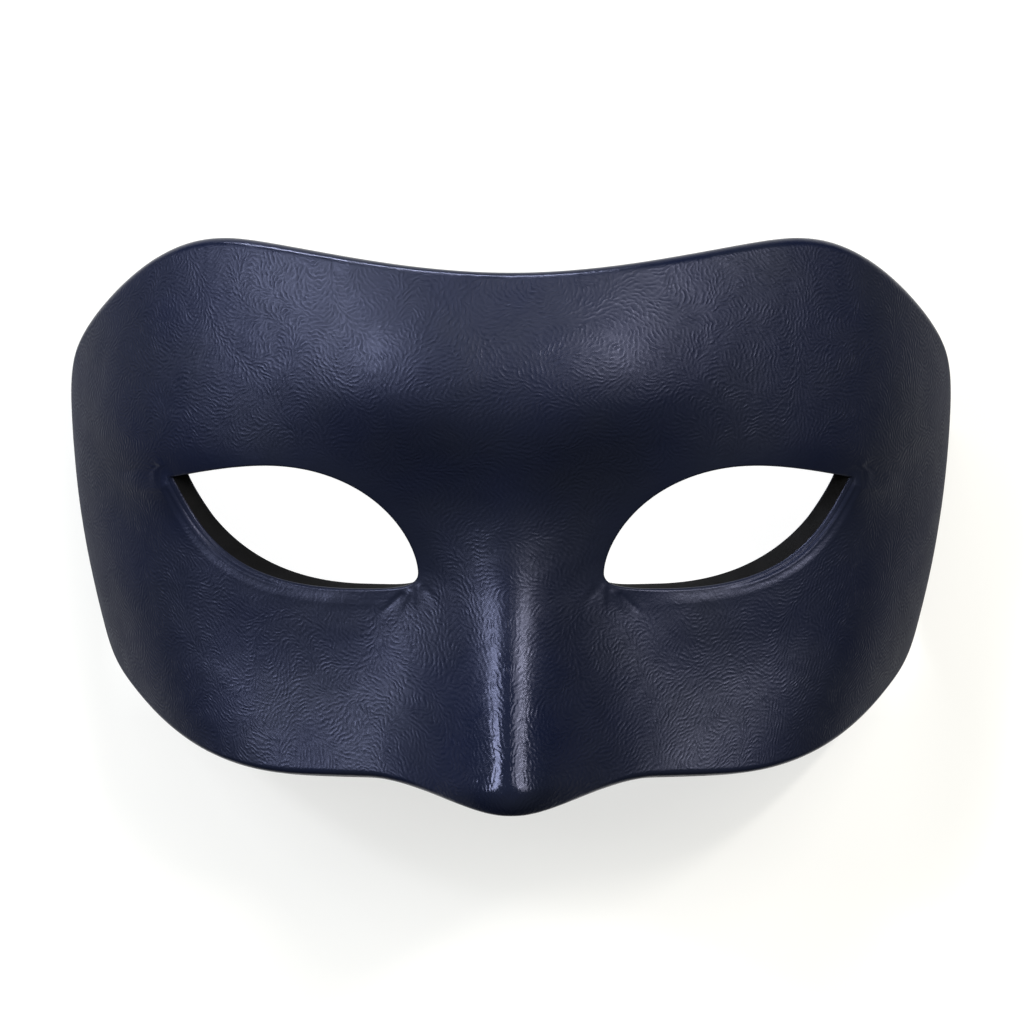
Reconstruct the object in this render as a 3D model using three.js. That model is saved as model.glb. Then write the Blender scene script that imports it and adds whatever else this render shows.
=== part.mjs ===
// A plain half mask of thick moulded leather: brow, eyes, cheeks and nose in one curved shell.
// It lies on its back. X runs across the face, Y towards the forehead and Z out of the face.
// The cut edges at the two temples lie flat on Z = 0. Millimetres.
import * as THREE from 'three';
import { mergeVertices } from 'three/addons/utils/BufferGeometryUtils.js';

// Leather
const THICKNESS = 3.2;
const FRONT_EDGE_ROUND = 1.0;
const BACK_EDGE_ROUND = 0.6;

// The head-shaped curve that the leather was moulded to
const TEMPLE_HALF_WIDTH = 90.2;
const WIDEST_HEIGHT = 25;
const SIDE_TAPER = 0.0026;
const ARCH_DEPTH = 60;
const ARCH_LEVEL = 4;
const FOREHEAD_SLOPE = 0.23;
const FOREHEAD_EASE = 18;
const CHEEK_RETREAT = 0.0015;

// Swellings that stand out of that curve, or sink into it where the rise is negative. Each is a pair
// of bell curves, one on each side of the middle line, and a tilt lifts the outer end of each.
const BROW = { rise: 7.0, x: 16.5, y: 23.9, tilt: 0.195, above: 16.2, below: 10.6, across: 16.5 };
const EYE_SOCKET = { rise: -3.8, x: 48, y: -3.5, tilt: 0.29, above: 6, below: 9, across: 23.7 };
const UNDER_EYE = { rise: -4.7, x: 33.5, y: -22, tilt: 0.37, above: 14.2, below: 14.2, across: 30.3 };
const LOW_CHEEK = { rise: -4.4, x: 30.5, y: -44.3, tilt: 0.97, above: 17.2, below: 17.2, across: 23.7 };
const NOSE_BRIDGE = { rise: -6.0, x: 0, y: -3.5, tilt: 0, above: 18.4, below: 18.4, across: 27.5 };
const SWELLINGS = [BROW, EYE_SOCKET, UNDER_EYE, LOW_CHEEK, NOSE_BRIDGE];
const MIDDLE_EASE = 6;
const CHEEK_FLARE = { start: -24, curve: 0.0053, across: 73 };
const NOSE = { top: 17.1, ease: 7.4, slope: 0.343, flattening: 0.0046, width: 9.2, widening: 0.032 };
const NOSE_TIP = { start: -50, curve: 0.11, across: 15 };
const RELIEF_FADE = 0.5;

// The flat pattern: how far round from the middle line, and how high
const PATTERN_HALF_WIDTH = 122.5;
const TOP_MIDDLE = 48.3;
const LOBE = [54.5, 54.6];
const TEMPLE_SLANT = [102.5, 35.1];
const TEMPLE_TOP = 13;
const TEMPLE_MIDDLE = 0.5;
const TEMPLE_BOTTOM = -12;
const JAW_SLANT = [100.8, -36.3];
const CHEEK_LOW = [47, -50.8];
const NOSE_SIDE = [30.5, -50.8];
const NOSE_END = -56.7;
const EYE_TOP = [43.2, 9.8];
const EYE_INNER = [16.6, -11];
const EYE_INNER_LEVEL = -12;

// The lower lid is cut on a slant, so its wall shows from the front
const FRONT_LID = { outer: [66.4, 6.8], corner: [61.6, -1.2], slope: 55.8, bottom: [29, -14.5] };
const BACK_LID = { outer: [64.2, 6.9], corner: [61.8, 0.9], slope: 50.3, bottom: [27, -13.8] };

// Facets
const TOP_STEPS = 26;
const BOTTOM_STEPS = 28;
const NOSE_STEPS = 8;
const FOREHEAD_STEPS = 10;
const RINGS = 12;
const RING_CLOSENESS = { eye: 0.6, edge: 0.5 };
const NOSE_CLOSENESS = { tip: 0.45, eye: 1.2 };
const SLOPE_STEP = 0.05;

const bell = (distance, width) => Math.exp(-0.5 * (distance / width) ** 2);

// Runs from 0 to 1 as share does, at the given speeds at its start and end
function paced(share, first, last) {
  const squared = 3 - 2 * first - last;
  const cubed = first + last - 2;
  return first * share + squared * share ** 2 + cubed * share ** 3;
}

function halfWidth(y) {
  return TEMPLE_HALF_WIDTH - SIDE_TAPER * (y - WIDEST_HEIGHT) ** 2;
}

function archDepth(y) {
  const above = Math.max(y - ARCH_LEVEL, 0);
  const below = Math.max(ARCH_LEVEL - y, 0);
  const forehead = FOREHEAD_SLOPE * above ** 2 / (above + FOREHEAD_EASE);
  return ARCH_DEPTH - forehead - CHEEK_RETREAT * below ** 2;
}

function swelling({ rise, x, y, tilt, above, below, across }, side, height) {
  const outwards = Math.hypot(side, MIDDLE_EASE) - MIDDLE_EASE;
  const offset = height - y - tilt * (outwards - x);
  const pair = bell(side - x, across) + bell(side + x, across);
  return rise * bell(offset, offset > 0 ? above : below) * pair;
}

function relief(side, y) {
  const swellings = SWELLINGS.reduce((sum, one) => sum + swelling(one, side, y), 0);
  const flareDepth = Math.max(CHEEK_FLARE.start - y, 0);
  const flare = CHEEK_FLARE.curve * flareDepth ** 2 * bell(side, CHEEK_FLARE.across);
  const down = NOSE.top - y;
  const drop = (Math.hypot(down, NOSE.ease) + down) / 2;
  const noseWidth = NOSE.width + NOSE.widening * drop;
  const nose = NOSE.slope * drop * (1 - NOSE.flattening * drop) * bell(side, noseWidth);
  const tipDepth = Math.max(NOSE_TIP.start - y, 0);
  const tip = NOSE_TIP.curve * tipDepth ** 2 * bell(side, NOSE_TIP.across);
  return swellings + flare + nose - tip;
}

// The front of the leather, from a place on the flat pattern
function frontPoint(round, y) {
  const turn = Math.PI / 2 * round / PATTERN_HALF_WIDTH;
  const x = halfWidth(y) * Math.sin(turn);
  const fade = THREE.MathUtils.smoothstep(Math.cos(turn), 0, RELIEF_FADE);
  const z = archDepth(y) * Math.cos(turn) + relief(x, y) * fade;
  return new THREE.Vector3(x, y, z);
}

function change(round, y, alongRound, alongY) {
  const ahead = frontPoint(round + alongRound * SLOPE_STEP, y + alongY * SLOPE_STEP);
  const behind = frontPoint(round - alongRound * SLOPE_STEP, y - alongY * SLOPE_STEP);
  return ahead.sub(behind).divideScalar(2 * SLOPE_STEP);
}

// A point under the front of the leather. At the temple edge the way in is level.
function leatherPoint(place, depth) {
  const normal = change(place.x, place.y, 1, 0).cross(change(place.x, place.y, 0, 1)).normalize();
  const point = frontPoint(place.x, place.y).addScaledVector(normal, -depth);
  if (place.x === PATTERN_HALF_WIDTH) point.z = 0;
  return point;
}

// The cut outline of one half, from the top of the middle line round to the tip of the nose
function outlinePlaces() {
  const top = new THREE.Path();
  top.moveTo(0, TOP_MIDDLE);
  top.bezierCurveTo(19.8, TOP_MIDDLE, 43.2, LOBE[1], ...LOBE);
  top.bezierCurveTo(70, LOBE[1], 80, 46.6, ...TEMPLE_SLANT);
  top.bezierCurveTo(105.2, 33.7, PATTERN_HALF_WIDTH, 25, PATTERN_HALF_WIDTH, TEMPLE_TOP);
  top.lineTo(PATTERN_HALF_WIDTH, TEMPLE_MIDDLE);
  const bottom = new THREE.Path();
  bottom.moveTo(PATTERN_HALF_WIDTH, TEMPLE_MIDDLE);
  bottom.lineTo(PATTERN_HALF_WIDTH, TEMPLE_BOTTOM);
  bottom.bezierCurveTo(PATTERN_HALF_WIDTH, -28, 111.4, -31.8, ...JAW_SLANT);
  bottom.bezierCurveTo(86.8, -42.2, 73.8, CHEEK_LOW[1], ...CHEEK_LOW);
  bottom.lineTo(...NOSE_SIDE);
  bottom.bezierCurveTo(20.4, NOSE_SIDE[1], 9.5, NOSE_END, 0, NOSE_END);
  return [...top.getSpacedPoints(TOP_STEPS), ...bottom.getSpacedPoints(BOTTOM_STEPS).slice(1)];
}

// The eye opening, from its inner corner over the upper lid to the outer corner and back below
function eyePlaces({ outer, corner, slope, bottom }) {
  const upper = new THREE.Path();
  upper.moveTo(...EYE_INNER);
  upper.bezierCurveTo(EYE_INNER[0], -5.1, 23, EYE_TOP[1], ...EYE_TOP);
  upper.bezierCurveTo(50, EYE_TOP[1], 58, 8.2, ...outer);
  const lower = new THREE.Path();
  lower.moveTo(...outer);
  lower.bezierCurveTo(...corner, slope, bottom[1], ...bottom);
  lower.bezierCurveTo(20.5, bottom[1], EYE_INNER[0], -13.9, ...EYE_INNER);
  const over = upper.getSpacedPoints(FOREHEAD_STEPS + TOP_STEPS);
  const under = lower.getSpacedPoints(BOTTOM_STEPS + NOSE_STEPS).slice(1, -1);
  return [...over, ...under];
}

// Moves places off a cut edge into the leather by a real distance. Into the leather is to the
// right of the way along the outline, and to the left of the way round the eye.
function movedIn(places, neighbours, distance, side) {
  return places.map((place, i) => {
    const [before, after] = neighbours(i);
    const along = after.clone().sub(before).normalize();
    const way = new THREE.Vector2(along.y, -along.x).multiplyScalar(side);
    const stretch = change(place.x, place.y, way.x, way.y).length();
    return place.clone().addScaledVector(way, distance / stretch);
  });
}

function outlineMovedIn(places, distance) {
  const mirrored = (place) => new THREE.Vector2(-place.x, place.y);
  const last = places.length - 1;
  const neighbours = (i) => [places[i - 1] ?? mirrored(places[1]), places[i + 1] ?? mirrored(places[last - 1])];
  return movedIn(places, neighbours, distance, 1);
}

function eyeMovedOut(places, distance) {
  const count = places.length;
  const neighbours = (i) => [places[(i + count - 1) % count], places[(i + 1) % count]];
  return movedIn(places, neighbours, distance, -1);
}

// The outline and then the middle line back up, which closes the loop of one half
function halfLoop(outline) {
  const top = outline[0].y;
  const bottom = outline[outline.length - 1].y;
  const nose = Array.from({ length: NOSE_STEPS }, (_, i) => {
    const share = paced((i + 1) / NOSE_STEPS, NOSE_CLOSENESS.tip, NOSE_CLOSENESS.eye);
    return THREE.MathUtils.lerp(bottom, EYE_INNER_LEVEL, share);
  });
  const forehead = Array.from({ length: FOREHEAD_STEPS - 1 }, (_, i) =>
    THREE.MathUtils.lerp(EYE_INNER_LEVEL, top, (i + 1) / FOREHEAD_STEPS));
  return [...outline, ...[...nose, ...forehead].map((y) => new THREE.Vector2(0, y))];
}

// Starts the eye's loop level with the top of the outline's loop
function alignedEye(places) {
  return places.map((_, i) => places[(i + FOREHEAD_STEPS) % places.length]);
}

// Rings of one face of the leather, from the eye out to the edge, close together at both
function faceRings(eye, edge, depth) {
  return Array.from({ length: RINGS + 1 }, (_, ring) => {
    const outwards = paced(ring / RINGS, RING_CLOSENESS.eye, RING_CLOSENESS.edge);
    return eye.map((place, i) => leatherPoint(place.clone().lerp(edge[i], outwards), depth));
  });
}

// One half as a closed series of rings: front face, outer edge, back face and edge of the eye
function halfRings() {
  const outline = outlinePlaces();
  const frontEye = alignedEye(eyePlaces(FRONT_LID));
  const backEye = alignedEye(eyePlaces(BACK_LID));
  const front = faceRings(eyeMovedOut(frontEye, FRONT_EDGE_ROUND),
    halfLoop(outlineMovedIn(outline, FRONT_EDGE_ROUND)), 0);
  const back = faceRings(eyeMovedOut(backEye, BACK_EDGE_ROUND),
    halfLoop(outlineMovedIn(outline, BACK_EDGE_ROUND)), THICKNESS);
  const edgeDepths = [FRONT_EDGE_ROUND, THICKNESS - BACK_EDGE_ROUND];
  const edge = halfLoop(outline);
  const outerEdge = edgeDepths.map((depth) => edge.map((place) => leatherPoint(place, depth)));
  const eyeEdge = [frontEye, backEye].map((eye, k) => eye.map((place) => leatherPoint(place, edgeDepths[k])));
  return [...front, ...outerEdge, ...back.reverse(), ...eyeEdge.reverse()];
}

// Two triangles between neighbouring rings, split the shorter way so they keep close to the curve
function splitQuad(a, b, c, d) {
  const shorter = a.distanceTo(c) < b.distanceTo(d);
  return shorter ? [[a, b, c], [a, c, d]] : [[a, b, d], [b, c, d]];
}

// Both halves as one closed mesh. On the middle line they join, so no edge is cut there.
function maskGeometry() {
  const rings = halfRings();
  const around = rings[0].length;
  const outlineSteps = TOP_STEPS + BOTTOM_STEPS;
  const corners = [];
  rings.forEach((ring, r) => {
    const next = rings[(r + 1) % rings.length];
    const cutEdge = r >= RINGS && r < RINGS + 3;
    for (let i = 0; i < (cutEdge ? outlineSteps : around); i++) {
      const j = (i + 1) % around;
      corners.push(...splitQuad(ring[i], ring[j], next[j], next[i]));
    }
  });
  const right = corners.flat();
  const left = corners.flatMap(([a, b, c]) => [a, c, b]).map((p) => new THREE.Vector3(-p.x, p.y, p.z));
  return mergeVertices(new THREE.BufferGeometry().setFromPoints([...right, ...left]));
}

function leatherMask() {
  const geometry = maskGeometry();
  geometry.computeVertexNormals();
  const navyLeather = new THREE.MeshStandardMaterial({ color: '#20264a', roughness: 0.45, metalness: 0 });
  const mesh = new THREE.Mesh(geometry, navyLeather);
  mesh.name = 'leather_shell';
  return mesh;
}

const mask = new THREE.Group();
mask.add(leatherMask());

export default mask;
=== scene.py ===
import math

import bpy
import numpy as np
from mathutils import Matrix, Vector, noise


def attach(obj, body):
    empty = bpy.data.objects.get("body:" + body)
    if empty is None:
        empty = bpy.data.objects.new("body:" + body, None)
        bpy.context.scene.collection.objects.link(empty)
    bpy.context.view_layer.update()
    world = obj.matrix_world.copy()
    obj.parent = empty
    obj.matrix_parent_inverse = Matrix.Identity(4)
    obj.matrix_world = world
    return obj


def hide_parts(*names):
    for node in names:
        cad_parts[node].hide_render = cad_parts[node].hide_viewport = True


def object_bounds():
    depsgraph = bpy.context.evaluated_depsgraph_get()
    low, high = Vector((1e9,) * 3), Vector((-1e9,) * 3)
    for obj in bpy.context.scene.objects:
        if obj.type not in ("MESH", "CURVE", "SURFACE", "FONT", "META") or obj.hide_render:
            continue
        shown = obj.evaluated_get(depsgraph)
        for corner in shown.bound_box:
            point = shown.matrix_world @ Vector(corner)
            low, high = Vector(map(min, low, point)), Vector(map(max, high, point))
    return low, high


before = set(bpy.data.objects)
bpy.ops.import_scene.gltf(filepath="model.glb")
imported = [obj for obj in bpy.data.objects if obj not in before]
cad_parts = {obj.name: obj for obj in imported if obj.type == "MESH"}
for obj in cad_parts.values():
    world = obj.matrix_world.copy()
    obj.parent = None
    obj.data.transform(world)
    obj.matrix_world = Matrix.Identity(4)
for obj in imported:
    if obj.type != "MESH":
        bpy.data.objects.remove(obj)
CAD_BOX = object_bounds()

# A plain half mask of thick moulded leather, lying on a pale floor and seen from above its face.
# Lengths are in millimetres until the mesh is made, and MM turns them into the frame's metres.
# X runs across the face, Y towards the forehead and Z out of the face.
MM = 0.001

# Leather, and how round its cut edges are. The rim is rounder along the top, and changes over the run
# of heights.
THICKNESS = 3.2
BACK_EDGE_ROUND = 0.6
LID_EDGE_ROUND = 0.5
RIM_EDGE_ROUND = dict(top=2.2, below=1.4, run=(8, 30))

# The head-shaped curve that the leather was moulded to
TEMPLE_HALF_WIDTH = 90.2
WIDEST_HEIGHT = 25
SIDE_TAPER = 0.0026
ARCH_DEPTH = 60
ARCH_LEVEL = 4
FOREHEAD_SLOPE = 0.23
FOREHEAD_EASE = 18
CHEEK_RETREAT = 0.0015

# Swellings that stand out of that curve, or sink into it where the rise is negative. Each is a pair
# of bell curves, one on each side of the middle line: places are x and y, and a tilt lifts the
# outer end of each.
BROW = dict(rise=7.0, x=16.5, y=23.9, tilt=0.195, above=16.2, below=10.6, across=16.5)
EYE_SOCKET = dict(rise=-3.8, x=48, y=-3.5, tilt=0.29, above=6.0, below=9.0, across=23.7)
UNDER_EYE = dict(rise=-4.7, x=33.5, y=-22, tilt=0.37, above=14.2, below=14.2, across=30.3)
LOW_CHEEK = dict(rise=-4.4, x=30.5, y=-44.3, tilt=0.97, above=17.2, below=17.2, across=23.7)
NOSE_BRIDGE = dict(rise=-6.0, x=0, y=-3.5, tilt=0, above=18.4, below=18.4, across=27.5)
SWELLINGS = (BROW, EYE_SOCKET, UNDER_EYE, LOW_CHEEK, NOSE_BRIDGE)
MIDDLE_EASE = 6
CHEEK_FLARE = dict(start=-24, curve=0.0053, across=73)
NOSE = dict(top=17.1, ease=7.4, slope=0.343, flattening=0.0046, width=9.2, widening=0.032)
NOSE_TIP = dict(start=-50, curve=0.11, across=15)
RELIEF_FADE = 0.5

# The flat pattern: how far round from the middle line, and how high
PATTERN_HALF_WIDTH = 122.5
TOP_MIDDLE = 48.3
LOBE = (54.5, 54.6)
TEMPLE_SLANT = (102.5, 35.1)
TEMPLE_TOP = 13
TEMPLE_MIDDLE = 0.5
TEMPLE_BOTTOM = -12
JAW_SLANT = (100.8, -36.3)
CHEEK_LOW = (47, -50.8)
NOSE_SIDE = (30.5, -50.8)
NOSE_END = -56.7
EYE_TOP = (43.2, 9.8)
EYE_INNER = (16.6, -11)
EYE_INNER_LEVEL = -12

# The lower lid is cut on a slant, so its wall shows from the front
FRONT_LID = dict(outer=(66.4, 6.8), corner=(61.6, -1.2), slope=55.8, bottom=(29, -14.5))
BACK_LID = dict(outer=(64.2, 6.9), corner=(61.8, 0.9), slope=50.3, bottom=(27, -13.8))

# Mesh: steps along the cut edges of one half, and rings from the eye to the outer edge
FINENESS = 6
TOP_STEPS = 26 * FINENESS
BOTTOM_STEPS = 28 * FINENESS
NOSE_STEPS = 8 * FINENESS
FOREHEAD_STEPS = 10 * FINENESS
OUTLINE_STEPS = TOP_STEPS + BOTTOM_STEPS
FRONT_RINGS = 58
BACK_RINGS = 16
RING_CLOSENESS = dict(eye=0.35, edge=0.5)
NOSE_CLOSENESS = dict(tip=0.45, eye=1.2)
ROUND_STEPS = 5
LID_OFFSETS = (0.6, 0.7, 0.8, 0.9, 1.0, 1.1, 1.2, 1.35, 1.5, 1.7, 2.0, 2.4)
LID_REACH = 2.9
RIM_REACH = 3.2
RIM_OFFSETS = (2.6,)
SLOPE_STEP = 0.05
CURVE_SAMPLES = 400
DISTANCE_BATCH = 4000
MERGE_DIGITS = 5

# What a strip of faces is on
FRONT, EDGE, BACK = 0, 1, 2

# Fine relief of the front along the lower lid: a groove, a raised lip and a low roll round both. A run
# is where along the lid, in x on the flat pattern, a part grows to its full height.
LID_GROOVE = dict(depth=0.11, place=0.75, width=0.15)
LID_LIP = dict(height=0.23, place=1.3, width=0.32)
LID_LIP_RUN = (38, 50)
LID_ROLL = dict(place=3.2, inner=1.45, outer=6.0)
LID_ROLL_STEPS = (((20, 34), 0.5), ((38, 56), 0.6))
LID_CORNER_FADE = (-0.5, 0.8)

# Creases: from, to, height (a minus sinks) and width. Each fades out over this share of its length.
CREASE_FADE = (0.3, 1.0)
CREASES = (
    ((66.3, 7.0), (72.0, 11.5), 0.16, 0.35),
    ((67.2, 6.2), (73.0, 10.6), -0.16, 0.35),
    ((68.0, 5.4), (73.6, 9.6), 0.12, 0.35),
    ((19.7, -15.5), (25.3, -20.7), -0.15, 0.35),
    ((16.5, -14.0), (16.8, -19.3), 0.15, 0.4),
    ((15.4, -14.0), (12.5, -18.1), -0.12, 0.4),
    ((18.3, -15.0), (21.5, -20.5), 0.12, 0.4),
)

# Hand work: how uneven the moulded front is, and over what lengths. It is even next to the eyes.
UNEVEN = ((0.10, 21.0), (0.035, 8.0))
UNEVEN_RUN = (1.0, 5.0)

# Grain: wave spacing is 1 / (scale x waves), in metres. It is weaker down the nose and next to the
# eyes, none is left on the rounded rim, and its troughs are more matt than its ridges.
GRAIN_SCALE = 580.0
GRAIN_WAVES = 2.0
GRAIN_STRETCH = 0.6
GRAIN_HEIGHT = 0.000044
GRAIN_LEVELS = (0.3, 0.75)
GRAIN_MATT = 0.20
GRAIN_SWIRL = 15.0
GRAIN_SWIRL_PLACE = 7.3
GRAIN_TURNS = 2.0
GRAIN_WANDER = 0.0012
GRAIN_WANDER_SCALE = 350.0
RIDGE_GRAIN = 0.6
EYE_GRAIN = 0.25
EYE_SMOOTH_RUN = (2.0, 7.0)
NOSE_BARB_WIDTH = 7.0
NOSE_BARB_TURN = math.radians(30)
BARB_RUN = (4, 18)

# Other unevenness of the front: how fine it is, and how deep in metres
DIMPLES = (150.0, 0.0002)
PORES = (1400.0, 0.00003)

# Colours and finish. A run is where on the flat pattern, in millimetres, a change grows to its full size.
NAVY_DEEP = (0.0025, 0.0040, 0.0135, 1)
NAVY_SLATE = (0.0040, 0.0055, 0.0130, 1)
EDGE_COLOUR = (0.0025, 0.0025, 0.003, 1)
BACK_COLOUR = (0.012, 0.014, 0.026, 1)
SHINE_TINT = (0.62, 0.66, 1.0, 1)
DYE_PATCHES = 45.0
FRONT_ROUGHNESS = 0.33
SHINE_PATCHES = 160.0
SHINE_SPREAD = (-0.03, 0.04)
RIM_POLISH = 0.13
RIDGE_POLISH = (0.12, 0.26)
POLISH_PATCHES = 2600.0
POLISH_RUN = (0, 48)
TEMPLE_MATT = 0.28
TEMPLE_RUN = (72, 112)
LEATHER_IOR = 1.33

# The cut edges and the back are plainer
EDGE_FINISH = dict(roughness=0.75, ior=1.13, pore_scale=1800.0, pore_depth=0.00003)
BACK_FINISH = dict(roughness=0.75, ior=LEATHER_IOR, pore_scale=900.0, pore_depth=0.00008)
PLAIN_PATCHES = 220.0
PLAIN_LIGHTER = 1.35
PLAIN_SHINE_PATCHES = 500.0
PLAIN_SHINE_SPREAD = 0.05

# How much of a noise pattern's range is used
NOISE_RANGE = (0.3, 0.7)
NOISE_MIDDLE = (0.35, 0.65)

# Light: which way each softbox is from the mask, its size in metres and its power in watts
LIGHT_DISTANCE = 0.85
LEFT_LIGHT = dict(towards=(-0.65, 0.40, 0.64), size=(0.5, 0.16), power=5.9, tint=(0.93, 0.96, 1.0))
LEFT_CORE = dict(towards=(-0.65, 0.40, 0.64), size=(0.08, 0.08), power=2.1, tint=(0.93, 0.96, 1.0))
RIGHT_LIGHT = dict(towards=(0.45, 0.47, 0.76), size=(0.6, 0.3), power=4.8, tint=(1.0, 0.96, 0.86))
RIGHT_CORE = dict(towards=(0.45, 0.47, 0.76), size=(0.04, 0.2), power=3.7, tint=(1.0, 0.96, 0.86))
BROW_LIGHT = dict(towards=(-0.25, 0.95, 0.15), size=(0.6, 0.05), power=9.0, tint=(0.93, 0.96, 1.0))
HORIZON = (0.02, 0.022, 0.03, 1)
ZENITH = (0.41, 0.41, 0.31, 1)
ZENITH_HEIGHT = 0.75

# Floor: pale, and glowing with light of its own. Its glow is painted light: a painted pool of light under
# the eye openings, where the mask's shadow would fall, and painted shade past the picture's edge, where
# glow and colour both drop.
# A fall is the distances from the middle, in metres, over which that changes.
FLOOR_HALF = 3.0
FLOOR_ROUGHNESS = 0.8
FLOOR_COLOUR = (0.31, 0.31, 0.31, 1)
PAINTED_FALLOFF_COLOUR = (0.16, 0.16, 0.16, 1)
FLOOR_GLOW = 0.59
PAINTED_POOL_GLOW = 0.90
PAINTED_FALLOFF_GLOW_SHARE = 0.05
SIDE_FALL = (0.106, 0.20)
END_FALL = (0.108, 0.20)
EYE_SIDE_FALL = (0.070, 0.085)
EYE_END_FALL = (0.018, 0.045)

# Camera: straight at the face, from a little above the brow
LOOK_AT = Vector((0.0002, 0.0, 0.035))
CAMERA_DISTANCE = 0.9
CAMERA_TILT = math.radians(4)
LENS = 159.9
SENSOR = 36


def bell(distance, width):
    return np.exp(-0.5 * (distance / width) ** 2)


def smoothstep(value, low, high):
    share = np.clip((value - low) / (high - low), 0, 1)
    return share**2 * (3 - 2 * share)


def paced(share, first, last):
    """Runs from 0 to 1 as share does, at the given speeds at its start and end."""
    squared = 3 - 2 * first - last
    cubed = first + last - 2
    return first * share + squared * share**2 + cubed * share**3


def half_width(y):
    return TEMPLE_HALF_WIDTH - SIDE_TAPER * (y - WIDEST_HEIGHT) ** 2


def arch_depth(y):
    above = np.maximum(y - ARCH_LEVEL, 0)
    below = np.maximum(ARCH_LEVEL - y, 0)
    forehead = FOREHEAD_SLOPE * above**2 / (above + FOREHEAD_EASE)
    return ARCH_DEPTH - forehead - CHEEK_RETREAT * below**2


def swelling(spec, x, y):
    outwards = np.hypot(x, MIDDLE_EASE) - MIDDLE_EASE
    height = y - spec["y"] - spec["tilt"] * (outwards - spec["x"])
    reach = np.where(height > 0, spec["above"], spec["below"])
    pair = bell(x - spec["x"], spec["across"]) + bell(x + spec["x"], spec["across"])
    return spec["rise"] * bell(height, reach) * pair


def relief(x, y):
    flare_depth = np.maximum(CHEEK_FLARE["start"] - y, 0)
    flare = CHEEK_FLARE["curve"] * flare_depth**2 * bell(x, CHEEK_FLARE["across"])
    down = NOSE["top"] - y
    drop = (np.hypot(down, NOSE["ease"]) + down) / 2
    nose_width = NOSE["width"] + NOSE["widening"] * drop
    nose = NOSE["slope"] * drop * (1 - NOSE["flattening"] * drop) * bell(x, nose_width)
    tip_depth = np.maximum(NOSE_TIP["start"] - y, 0)
    tip = NOSE_TIP["curve"] * tip_depth**2 * bell(x, NOSE_TIP["across"])
    return sum(swelling(spec, x, y) for spec in SWELLINGS) + flare + nose - tip


def front_point(places):
    """The front of the leather, from places on the flat pattern."""
    y = places[:, 1]
    turn = math.pi / 2 * places[:, 0] / PATTERN_HALF_WIDTH
    x = half_width(y) * np.sin(turn)
    fade = smoothstep(np.cos(turn), 0, RELIEF_FADE)
    z = arch_depth(y) * np.cos(turn) + relief(x, y) * fade
    return np.stack([x, y, z], axis=-1)


def change(places, along):
    """How far the front moves for each millimetre along a direction on the flat pattern."""
    ahead = front_point(places + along * SLOPE_STEP)
    behind = front_point(places - along * SLOPE_STEP)
    return (ahead - behind) / (2 * SLOPE_STEP)


def unit(vectors):
    return vectors / np.linalg.norm(vectors, axis=-1, keepdims=True)


def leather_point(places, depth):
    """Points under the front of the leather. At the temple edge the way in is level."""
    normal = unit(np.cross(change(places, np.array([1, 0])), change(places, np.array([0, 1]))))
    points = front_point(places) - normal * np.reshape(depth, (-1, 1))
    points[places[:, 0] == PATTERN_HALF_WIDTH, 2] = 0
    return points


def path_places(pieces, steps):
    """Evenly spaced places along a path of straight lines (two points) and curves (four points, of which
    the middle two are handles)."""
    share = np.linspace(0, 1, CURVE_SAMPLES)[:, None]
    stretches = []
    for piece in pieces:
        points = np.array(piece, float)
        if len(points) == 2:
            stretches.append(points[0] + share * (points[1] - points[0]))
            continue
        weights = ((1 - share) ** 3, 3 * (1 - share) ** 2 * share, 3 * (1 - share) * share**2, share**3)
        stretches.append(sum(w * p for w, p in zip(weights, points)))
    dense = np.concatenate(stretches)
    travelled = np.concatenate([[0], np.cumsum(np.linalg.norm(np.diff(dense, axis=0), axis=1))])
    stops = np.linspace(0, travelled[-1], steps + 1)
    return np.stack([np.interp(stops, travelled, dense[:, k]) for k in range(2)], axis=-1)


def outline_places():
    """The cut outline of one half, from the top of the middle line round to the tip of the nose."""
    side = PATTERN_HALF_WIDTH
    middle = (side, TEMPLE_MIDDLE)
    top = path_places([
        [(0, TOP_MIDDLE), (19.8, TOP_MIDDLE), (43.2, LOBE[1]), LOBE],
        [LOBE, (70, LOBE[1]), (80, 46.6), TEMPLE_SLANT],
        [TEMPLE_SLANT, (105.2, 33.7), (side, 25), (side, TEMPLE_TOP)],
        [(side, TEMPLE_TOP), middle],
    ], TOP_STEPS)
    bottom = path_places([
        [middle, (side, TEMPLE_BOTTOM)],
        [(side, TEMPLE_BOTTOM), (side, -28), (111.4, -31.8), JAW_SLANT],
        [JAW_SLANT, (86.8, -42.2), (73.8, CHEEK_LOW[1]), CHEEK_LOW],
        [CHEEK_LOW, NOSE_SIDE],
        [NOSE_SIDE, (20.4, NOSE_SIDE[1]), (9.5, NOSE_END), (0, NOSE_END)],
    ], BOTTOM_STEPS)
    return np.concatenate([top, bottom[1:]])


def eye_places(lid):
    """The eye opening, from its inner corner over the upper lid to the outer corner and back below."""
    outer, bottom = lid["outer"], lid["bottom"]
    over = path_places([
        [EYE_INNER, (EYE_INNER[0], -5.1), (23, EYE_TOP[1]), EYE_TOP],
        [EYE_TOP, (50, EYE_TOP[1]), (58, 8.2), outer],
    ], FOREHEAD_STEPS + TOP_STEPS)
    under = path_places([
        [outer, lid["corner"], (lid["slope"], bottom[1]), bottom],
        [bottom, (20.5, bottom[1]), (EYE_INNER[0], -13.9), EYE_INNER],
    ], BOTTOM_STEPS + NOSE_STEPS)
    loop = np.concatenate([over, under[1:-1]])
    return np.roll(loop, -FOREHEAD_STEPS, axis=0)


def moved_in(places, before, after, distance, side):
    """Moves places off a cut edge into the leather by a real distance, to the right of the way along
    the outline and to the left of the way round the eye."""
    along = unit(after - before)
    way = np.stack([along[:, 1], -along[:, 0]], axis=-1) * side
    stretch = np.linalg.norm(change(places, way), axis=1, keepdims=True)
    return places + way * np.reshape(distance, (-1, 1)) / stretch


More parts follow.
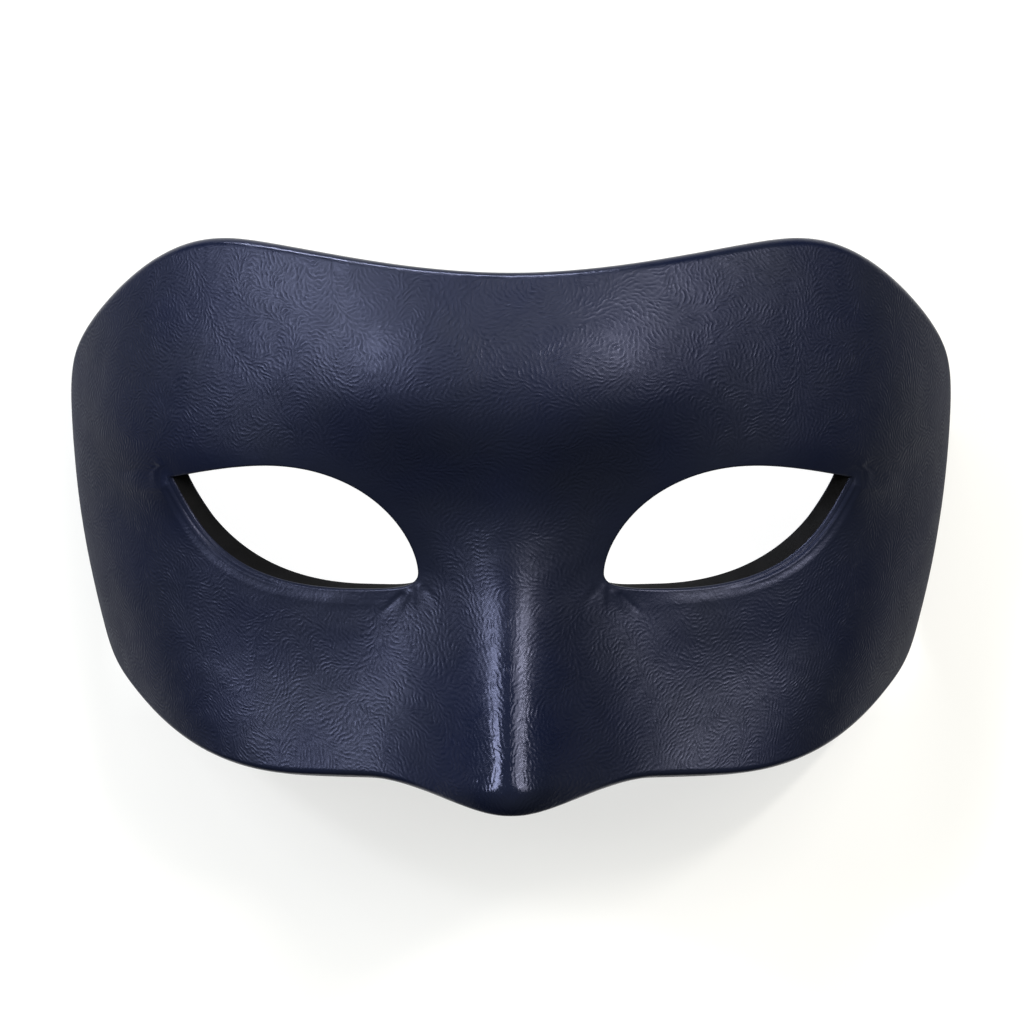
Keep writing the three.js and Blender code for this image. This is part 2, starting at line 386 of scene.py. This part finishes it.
def rim_round(outline):
    """How far the front is rounded towards the cut edge: more along the top than below."""
    below, top = RIM_EDGE_ROUND["below"], RIM_EDGE_ROUND["top"]
    return below + (top - below) * smoothstep(outline[:, 1], *RIM_EDGE_ROUND["run"])


def outline_moved_in(places, distance):
    mirrored = np.array([-1, 1])
    before = np.concatenate([places[1:2] * mirrored, places[:-1]])
    after = np.concatenate([places[1:], places[-2:-1] * mirrored])
    return moved_in(places, before, after, distance, 1)


def eye_moved_out(places, distance):
    return moved_in(places, np.roll(places, 1, axis=0), np.roll(places, -1, axis=0), distance, -1)


def half_loop(outline):
    """The outline and then the middle line back up, which closes the loop of one half."""
    top, bottom = outline[0, 1], outline[-1, 1]
    share = np.arange(1, NOSE_STEPS + 1) / NOSE_STEPS
    nose_share = paced(share, NOSE_CLOSENESS["tip"], NOSE_CLOSENESS["eye"])
    nose = bottom + (EYE_INNER_LEVEL - bottom) * nose_share
    forehead = EYE_INNER_LEVEL + (top - EYE_INNER_LEVEL) * np.arange(1, FOREHEAD_STEPS) / FOREHEAD_STEPS
    heights = np.concatenate([nose, forehead])
    return np.concatenate([outline, np.stack([0 * heights, heights], axis=-1)])


def rounding(radius):
    """How far in and how deep the points of a rounded edge are, from the wall to the face."""
    turns = np.linspace(math.pi / 2, 0, ROUND_STEPS + 1)
    return [(radius * (1 - math.sin(turn)), radius * (1 - math.cos(turn))) for turn in turns]


def face_rings(inner, outer, rings):
    shares = paced(np.arange(rings + 1) / rings, RING_CLOSENESS["eye"], RING_CLOSENESS["edge"])
    return [inner + (outer - inner) * share for share in shares]


def half_rings():
    """One half as a closed series of rings, each (places, depth, surface, all round). The last two are
    about the strip of faces that follows: what it is on, and whether it runs all round the half."""
    outline = outline_places()
    front_eye, back_eye = eye_places(FRONT_LID), eye_places(BACK_LID)
    rings = []

    def eye_ring(eye, inwards, depth, surface):
        rings.append((eye_moved_out(eye, inwards), depth, surface, True))

    def outline_ring(inwards, depth, surface):
        places = half_loop(outline_moved_in(outline, inwards))
        depths = np.pad(depth + np.zeros(len(outline)), (0, len(places) - len(outline)))
        rings.append((places, depths, surface, False))

    for inwards, depth in rounding(LID_EDGE_ROUND):
        eye_ring(front_eye, inwards, depth, FRONT)
    for inwards in LID_OFFSETS:
        eye_ring(front_eye, inwards, 0, FRONT)
    inner = eye_moved_out(front_eye, LID_REACH)
    outer = half_loop(outline_moved_in(outline, RIM_REACH))
    for places in face_rings(inner, outer, FRONT_RINGS)[:-1]:
        rings.append((places, 0, FRONT, True))
    for inwards in (RIM_REACH, *RIM_OFFSETS):
        outline_ring(inwards, 0, FRONT)
    for inwards, depth in reversed(rounding(rim_round(outline))):
        outline_ring(inwards, depth, EDGE if np.all(inwards == 0) else FRONT)
    for inwards, depth in rounding(BACK_EDGE_ROUND)[:-1]:
        outline_ring(inwards, THICKNESS - depth, BACK)
    inner = eye_moved_out(back_eye, BACK_EDGE_ROUND)
    outer = half_loop(outline_moved_in(outline, BACK_EDGE_ROUND))
    for places in reversed(face_rings(inner, outer, BACK_RINGS)):
        rings.append((places, THICKNESS, BACK, True))
    for inwards, depth in reversed(rounding(BACK_EDGE_ROUND)[:-1]):
        eye_ring(back_eye, inwards, THICKNESS - depth, EDGE if inwards == 0 else BACK)
    return rings


def eye_distances(places):
    """How far each place is from the cut edge of the eye along the front, and the edge's nearest place."""
    edge = front_point(eye_places(FRONT_LID))
    nearest = np.zeros(len(places), int)
    distances = np.zeros(len(places))
    for start in range(0, len(places), DISTANCE_BATCH):
        part = slice(start, start + DISTANCE_BATCH)
        gaps = np.linalg.norm(front_point(places[part])[:, None] - edge[None], axis=2)
        nearest[part] = gaps.argmin(axis=1)
        distances[part] = gaps.min(axis=1)
    return distances, nearest


def lower_lid_share(places, nearest, run):
    """1 along the outer part of the lower lid, fading out towards the nose and above the outer corner."""
    lower = (nearest >= TOP_STEPS) & (nearest <= TOP_STEPS + BOTTOM_STEPS + NOSE_STEPS)
    along = eye_places(FRONT_LID)[nearest, 0]
    above_corner = places[:, 1] - FRONT_LID["outer"][1]
    return lower * smoothstep(along, *run) * (1 - smoothstep(above_corner, *LID_CORNER_FADE))


def crease_relief(places):
    total = np.zeros(len(places))
    for start, end, height, width in CREASES:
        start, end = np.array(start, float), np.array(end, float)
        run = end - start
        share = np.clip((places - start) @ run / (run @ run), 0, 1)
        off = np.linalg.norm(places - start - share[:, None] * run, axis=1)
        total += height * bell(off, width) * (1 - smoothstep(share, *CREASE_FADE))
    return total


def uneven_relief(points):
    """The hand-moulded front is never quite even. It only sinks, so it stays within the leather."""
    total = np.zeros(len(points))
    for depth, length in UNEVEN:
        values = np.array([noise.noise(Vector(point) / length) for point in points])
        total += depth * (np.clip(values, -1, 1) - 1) / 2
    return total


def fine_relief(places, side):
    """What stands out of the front surface by less than the solid part shows, in millimetres."""
    distances, nearest = eye_distances(places)
    groove = -LID_GROOVE["depth"] * bell(distances - LID_GROOVE["place"], LID_GROOVE["width"])
    lip = LID_LIP["height"] * bell(distances - LID_LIP["place"], LID_LIP["width"])
    lid = lower_lid_share(places, nearest, LID_LIP_RUN) * (groove + lip)
    past_roll = distances - LID_ROLL["place"]
    roll_width = np.where(past_roll > 0, LID_ROLL["outer"], LID_ROLL["inner"])
    height = sum(part * lower_lid_share(places, nearest, run) for run, part in LID_ROLL_STEPS)
    roll = height * bell(past_roll, roll_width)
    points = front_point(places) * np.array([side, 1, 1])
    uneven = uneven_relief(points) * smoothstep(distances, *UNEVEN_RUN)
    return lid + roll + crease_relief(places) + uneven


def mask_arrays():
    """The whole mask: vertices, their places on the flat pattern and whether each is on the rounded rim,
    then quads and what each is on."""
    rings = half_rings()
    around = len(rings[0][0])
    vertices, patterns, rims, quads, surfaces = [], [], [], [], []
    for side in (1, -1):
        first = len(vertices) * around
        for number, (places, depth, surface, all_round) in enumerate(rings):
            on_front = np.all(depth == 0)
            raised = fine_relief(places, side) if on_front else 0
            vertices.append(leather_point(places, depth - raised) * np.array([side, 1, 1]))
            patterns.append(places * np.array([side, 1]))
            rims.append(np.full(around, float(not all_round and not on_front)))
            here = first + number * around
            following = first + (number + 1) % len(rings) * around
            i = np.arange(around if all_round else OUTLINE_STEPS)
            j = (i + 1) % around
            corners = np.stack([here + i, here + j, following + j, following + i], axis=-1)
            quads.append(corners[:, ::side])
            surfaces.append(np.full(len(i), surface))
    return (np.concatenate(part) for part in (vertices, patterns, rims, quads, surfaces))


def merged(vertices, quads):
    """Joins vertices that share a place and leaves out the unused ones. Gives which ones stay."""
    keys = np.round(vertices, MERGE_DIGITS) + 0.0
    _, kept, same = np.unique(keys, axis=0, return_index=True, return_inverse=True)
    quads = same.reshape(-1)[quads]
    used = np.unique(quads)
    renumbered = np.zeros(len(kept), int)
    renumbered[used] = np.arange(len(used))
    return kept[used], renumbered[quads]


def moulded_leather(materials):
    """The mask as one mesh. It is clipped to the solid's box, which moves only a few points at the tip of
    the nose, by less than 0.1 mm."""
    vertices, patterns, rims, quads, surfaces = mask_arrays()
    kept, quads = merged(vertices, quads)
    vertices, patterns, rims = vertices[kept], patterns[kept], rims[kept]
    from_eye, _ = eye_distances(np.stack([np.abs(patterns[:, 0]), patterns[:, 1]], axis=-1))
    mesh = bpy.data.meshes.new("moulded_leather")
    mesh.vertices.add(len(vertices))
    mesh.vertices.foreach_set("co", np.clip(vertices * MM, *np.array(CAD_BOX)).ravel())
    mesh.loops.add(quads.size)
    mesh.loops.foreach_set("vertex_index", quads.ravel())
    mesh.polygons.add(len(quads))
    mesh.polygons.foreach_set("loop_start", np.arange(0, quads.size, 4))
    mesh.polygons.foreach_set("material_index", surfaces)
    mesh.update(calc_edges=True)
    mesh.shade_smooth()
    for material in materials:
        mesh.materials.append(material)
    add_attribute(mesh, "pattern", "FLOAT_VECTOR", np.pad(patterns * MM, ((0, 0), (0, 1))))
    add_attribute(mesh, "grain_turn", "FLOAT", grain_turn(patterns))
    add_attribute(mesh, "nose_polish", "FLOAT", nose_ridge(patterns, *POLISH_RUN))
    add_attribute(mesh, "temple", "FLOAT", smoothstep(np.abs(patterns[:, 0]), *TEMPLE_RUN))
    add_attribute(mesh, "rim", "FLOAT", rims)
    add_attribute(mesh, "by_eye", "FLOAT", 1 - smoothstep(from_eye, *EYE_SMOOTH_RUN))
    mask = bpy.data.objects.new("moulded_leather", mesh)
    bpy.context.scene.collection.objects.link(mask)
    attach(mask, "root")
    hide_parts("leather_shell")
    return mask


def add_attribute(mesh, name, kind, values):
    field = "vector" if kind == "FLOAT_VECTOR" else "value"
    attribute = mesh.attributes.new(name, kind, "POINT")
    attribute.data.foreach_set(field, np.asarray(values, np.float32).ravel())


def nose_ridge(patterns, start, full):
    down = smoothstep(-patterns[:, 1], start, full)
    return bell(patterns[:, 0], NOSE_BARB_WIDTH) * down


def grain_turn(patterns):
    """Which way the grain runs: it swirls slowly, and down the nose it spreads like a feather."""
    turns = np.array([noise.noise(Vector((*place, GRAIN_SWIRL_PLACE)) / GRAIN_SWIRL) for place in patterns])
    swirl = math.pi * GRAIN_TURNS * turns
    barbs = -np.sign(patterns[:, 0]) * NOSE_BARB_TURN
    share = nose_ridge(patterns, *BARB_RUN)
    return swirl * (1 - share) + barbs * share


class Nodes:
    """Short calls for building a material's nodes."""

    def __init__(self, name):
        self.material = bpy.data.materials.new(name)
        self.material.use_nodes = True
        self.tree = self.material.node_tree
        self.shader = self.tree.nodes["Principled BSDF"]

    def add(self, kind, settings=None, **inputs):
        node = self.tree.nodes.new(kind)
        for key, value in (settings or {}).items():
            setattr(node, key, value)
        for key, value in inputs.items():
            self.put(node, key.replace("_", " "), value)
        return node

    def put(self, node, name, value):
        socket = node.inputs[name]
        if isinstance(value, bpy.types.NodeSocket):
            self.tree.links.new(value, socket)
        else:
            socket.default_value = value

    def attribute(self, name, output="Fac"):
        return self.add("ShaderNodeAttribute", {"attribute_name": name}).outputs[output]

    def noise(self, vector, scale, detail=3.0, roughness=0.5):
        settings = dict(Vector=vector, Scale=scale, Detail=detail, Roughness=roughness)
        return self.add("ShaderNodeTexNoise", **settings).outputs["Fac"]

    def ranged(self, value, low, high, to_low, to_high):
        node = self.add("ShaderNodeMapRange", Value=value)
        numbers = {"From Min": low, "From Max": high, "To Min": to_low, "To Max": to_high}
        for name, number in numbers.items():
            node.inputs[name].default_value = number
        return node.outputs["Result"]

    def math(self, operation, first, second):
        node = self.add("ShaderNodeMath", {"operation": operation})
        self.put(node, 0, first)
        self.put(node, 1, second)
        return node.outputs[0]

    def mix(self, share, first, second):
        node = self.add("ShaderNodeMix", {"data_type": "RGBA"})
        self.put(node, 0, share)
        self.put(node, 6, first)
        self.put(node, 7, second)
        return node.outputs[2]

    def bump(self, height, distance, normal=None):
        node = self.add("ShaderNodeBump", Height=height, Distance=distance, Strength=1.0)
        if normal is not None:
            self.put(node, "Normal", normal)
        return node.outputs["Normal"]


def colour(red, green, blue):
    return (red, green, blue, 1.0)


def grain_leather():
    """The dyed front: swirling raised grain, slow changes of colour and shine."""
    n = Nodes("grain_leather")
    place = n.add("ShaderNodeTexCoord").outputs["Object"]
    pattern = n.attribute("pattern", "Vector")
    turn = n.attribute("grain_turn")
    ridge = n.attribute("nose_polish")
    rim = n.attribute("rim")
    by_eye = n.attribute("by_eye")
    wander = n.add("ShaderNodeTexNoise", Vector=place, Scale=GRAIN_WANDER_SCALE, Detail=1.0)
    shift = n.add("ShaderNodeVectorMath", {"operation": "MULTIPLY_ADD"})
    n.put(shift, 0, wander.outputs["Color"])
    n.put(shift, 1, (GRAIN_WANDER,) * 3)
    n.put(shift, 2, pattern)
    gabor = n.add("ShaderNodeTexGabor", {"gabor_type": "2D"}, Vector=shift.outputs[0], Scale=GRAIN_SCALE,
                  Frequency=GRAIN_WAVES, Anisotropy=GRAIN_STRETCH, Orientation=turn)
    grain = n.ranged(gabor.outputs["Value"], *GRAIN_LEVELS, 0.0, 1.0)
    off_rim = n.ranged(rim, 0.0, 1.0, 1.0, 0.0)
    off_edges = n.math("MULTIPLY", off_rim, n.ranged(by_eye, 0.0, 1.0, 1.0, EYE_GRAIN))
    matt_share = n.math("MULTIPLY", off_edges, n.ranged(ridge, 0.0, 1.0, GRAIN_MATT, 0.0))
    matt_troughs = n.math("MULTIPLY", matt_share, n.ranged(grain, 0.0, 1.0, 1.0, 0.0))
    raised_share = n.math("MULTIPLY", off_edges, n.ranged(ridge, 0.0, 1.0, 1.0, RIDGE_GRAIN))
    raised = n.math("MULTIPLY", grain, raised_share)

    patches = n.ranged(n.noise(place, DYE_PATCHES), *NOISE_MIDDLE, 0.0, 1.0)
    n.put(n.shader, "Base Color", n.mix(patches, NAVY_DEEP, NAVY_SLATE))

    smoothest, roughest = (FRONT_ROUGHNESS + part for part in SHINE_SPREAD)
    roughness = n.ranged(n.noise(place, SHINE_PATCHES), *NOISE_RANGE, smoothest, roughest)
    ridge_polish = n.ranged(n.noise(place, POLISH_PATCHES), *NOISE_MIDDLE, *RIDGE_POLISH)
    roughness = n.math("SUBTRACT", roughness, n.math("MULTIPLY", ridge, ridge_polish))
    roughness = n.math("SUBTRACT", roughness, n.ranged(rim, 0.0, 1.0, 0.0, RIM_POLISH))
    roughness = n.math("ADD", roughness, n.math("MULTIPLY", n.attribute("temple"), TEMPLE_MATT))
    n.put(n.shader, "Roughness", n.math("ADD", roughness, matt_troughs))

    dimple_scale, dimple_depth = DIMPLES
    pore_scale, pore_depth = PORES
    normal = n.bump(n.noise(place, dimple_scale, 2.0), dimple_depth)
    normal = n.bump(raised, GRAIN_HEIGHT, normal)
    normal = n.bump(n.noise(place, pore_scale, 2.0), pore_depth, normal)
    n.put(n.shader, "Normal", normal)
    n.shader.inputs["Specular Tint"].default_value = SHINE_TINT
    n.shader.inputs["IOR"].default_value = LEATHER_IOR
    return n.material


def plain_material(name, base, roughness, ior, pore_scale, pore_depth):
    n = Nodes(name)
    place = n.add("ShaderNodeTexCoord").outputs["Object"]
    patches = n.ranged(n.noise(place, PLAIN_PATCHES), *NOISE_MIDDLE, 0.0, 1.0)
    lighter = colour(*(part * PLAIN_LIGHTER for part in base[:3]))
    n.put(n.shader, "Base Color", n.mix(patches, base, lighter))
    smoothest, roughest = roughness - PLAIN_SHINE_SPREAD, roughness + PLAIN_SHINE_SPREAD
    uneven = n.ranged(n.noise(place, PLAIN_SHINE_PATCHES), *NOISE_RANGE, smoothest, roughest)
    n.put(n.shader, "Roughness", uneven)
    n.put(n.shader, "Normal", n.bump(n.noise(place, pore_scale), pore_depth))
    n.shader.inputs["IOR"].default_value = ior
    return n.material


def floor():
    mesh = bpy.data.meshes.new("floor")
    half = FLOOR_HALF
    corners = [(-half, -half, 0), (half, -half, 0), (half, half, 0), (-half, half, 0)]
    mesh.from_pydata(corners, [], [(0, 1, 2, 3)])
    slab = bpy.data.objects.new("floor", mesh)
    bpy.context.scene.collection.objects.link(slab)
    n = Nodes("pale_floor")
    n.shader.inputs["Roughness"].default_value = FLOOR_ROUGHNESS
    n.shader.inputs["Emission Color"].default_value = colour(1, 1, 1)
    place = n.add("ShaderNodeSeparateXYZ", Vector=n.add("ShaderNodeTexCoord").outputs["Object"])
    across = n.math("ABSOLUTE", place.outputs["X"], 0.0)
    along = n.math("ABSOLUTE", place.outputs["Y"], 0.0)
    # Painted light: the glow is raised in a pool under the eye openings, over the mask's shadow, and the
    # glow and colour drop past the picture's edge as painted shade.
    painted_falloff = n.math("MAXIMUM", n.ranged(across, *SIDE_FALL, 0.0, 1.0), n.ranged(along, *END_FALL, 0.0, 1.0))
    painted_pool_under_eyes = n.math(
        "MULTIPLY", n.ranged(across, *EYE_SIDE_FALL, 1.0, 0.0), n.ranged(along, *EYE_END_FALL, 1.0, 0.0))
    glow = n.ranged(painted_pool_under_eyes, 0.0, 1.0, FLOOR_GLOW, PAINTED_POOL_GLOW)
    glow = n.math("MULTIPLY", glow, n.ranged(painted_falloff, 0.0, 1.0, 1.0, PAINTED_FALLOFF_GLOW_SHARE))
    n.put(n.shader, "Emission Strength", glow)
    n.put(n.shader, "Base Color", n.mix(painted_falloff, FLOOR_COLOUR, PAINTED_FALLOFF_COLOUR))
    mesh.materials.append(n.material)


def softbox(name, towards, size, power, tint):
    light = bpy.data.lights.new(name, "AREA")
    light.shape = "RECTANGLE"
    light.size, light.size_y = size
    light.energy = power
    light.color = tint
    lamp = bpy.data.objects.new(name, light)
    away = Vector(towards).normalized()
    lamp.location = LOOK_AT + away * LIGHT_DISTANCE
    lamp.rotation_euler = away.to_track_quat("Z", "Y").to_euler()
    bpy.context.scene.collection.objects.link(lamp)


def surroundings():
    """A room that is dim towards the horizon and paler overhead."""
    world = bpy.data.worlds.new("room")
    world.use_nodes = True
    tree = world.node_tree
    place = tree.nodes.new("ShaderNodeTexCoord")
    height = tree.nodes.new("ShaderNodeSeparateXYZ")
    shade = tree.nodes.new("ShaderNodeValToRGB")
    shade.color_ramp.elements[0].position = 0.0
    shade.color_ramp.elements[0].color = HORIZON
    shade.color_ramp.elements[1].position = ZENITH_HEIGHT
    shade.color_ramp.elements[1].color = ZENITH
    tree.links.new(place.outputs["Generated"], height.inputs[0])
    tree.links.new(height.outputs["Z"], shade.inputs["Fac"])
    tree.links.new(shade.outputs["Color"], tree.nodes["Background"].inputs["Color"])
    bpy.context.scene.world = world


def camera():
    data = bpy.data.cameras.new("camera")
    data.lens = LENS
    data.sensor_width = SENSOR
    viewer = bpy.data.objects.new("camera", data)
    viewer.location = LOOK_AT + CAMERA_DISTANCE * Vector((0, math.sin(CAMERA_TILT), math.cos(CAMERA_TILT)))
    viewer.rotation_euler = (-CAMERA_TILT, 0, 0)
    bpy.context.scene.collection.objects.link(viewer)
    bpy.context.scene.camera = viewer


camera()
surroundings()
softbox("softbox_left", **LEFT_LIGHT)
softbox("softbox_left_core", **LEFT_CORE)
softbox("softbox_right", **RIGHT_LIGHT)
softbox("softbox_right_core", **RIGHT_CORE)
softbox("softbox_brow", **BROW_LIGHT)
floor()
moulded_leather([
    grain_leather(),
    plain_material("cut_edge", EDGE_COLOUR, **EDGE_FINISH),
    plain_material("back_leather", BACK_COLOUR, **BACK_FINISH),
])
bpy.context.scene.view_settings.view_transform = "Standard"
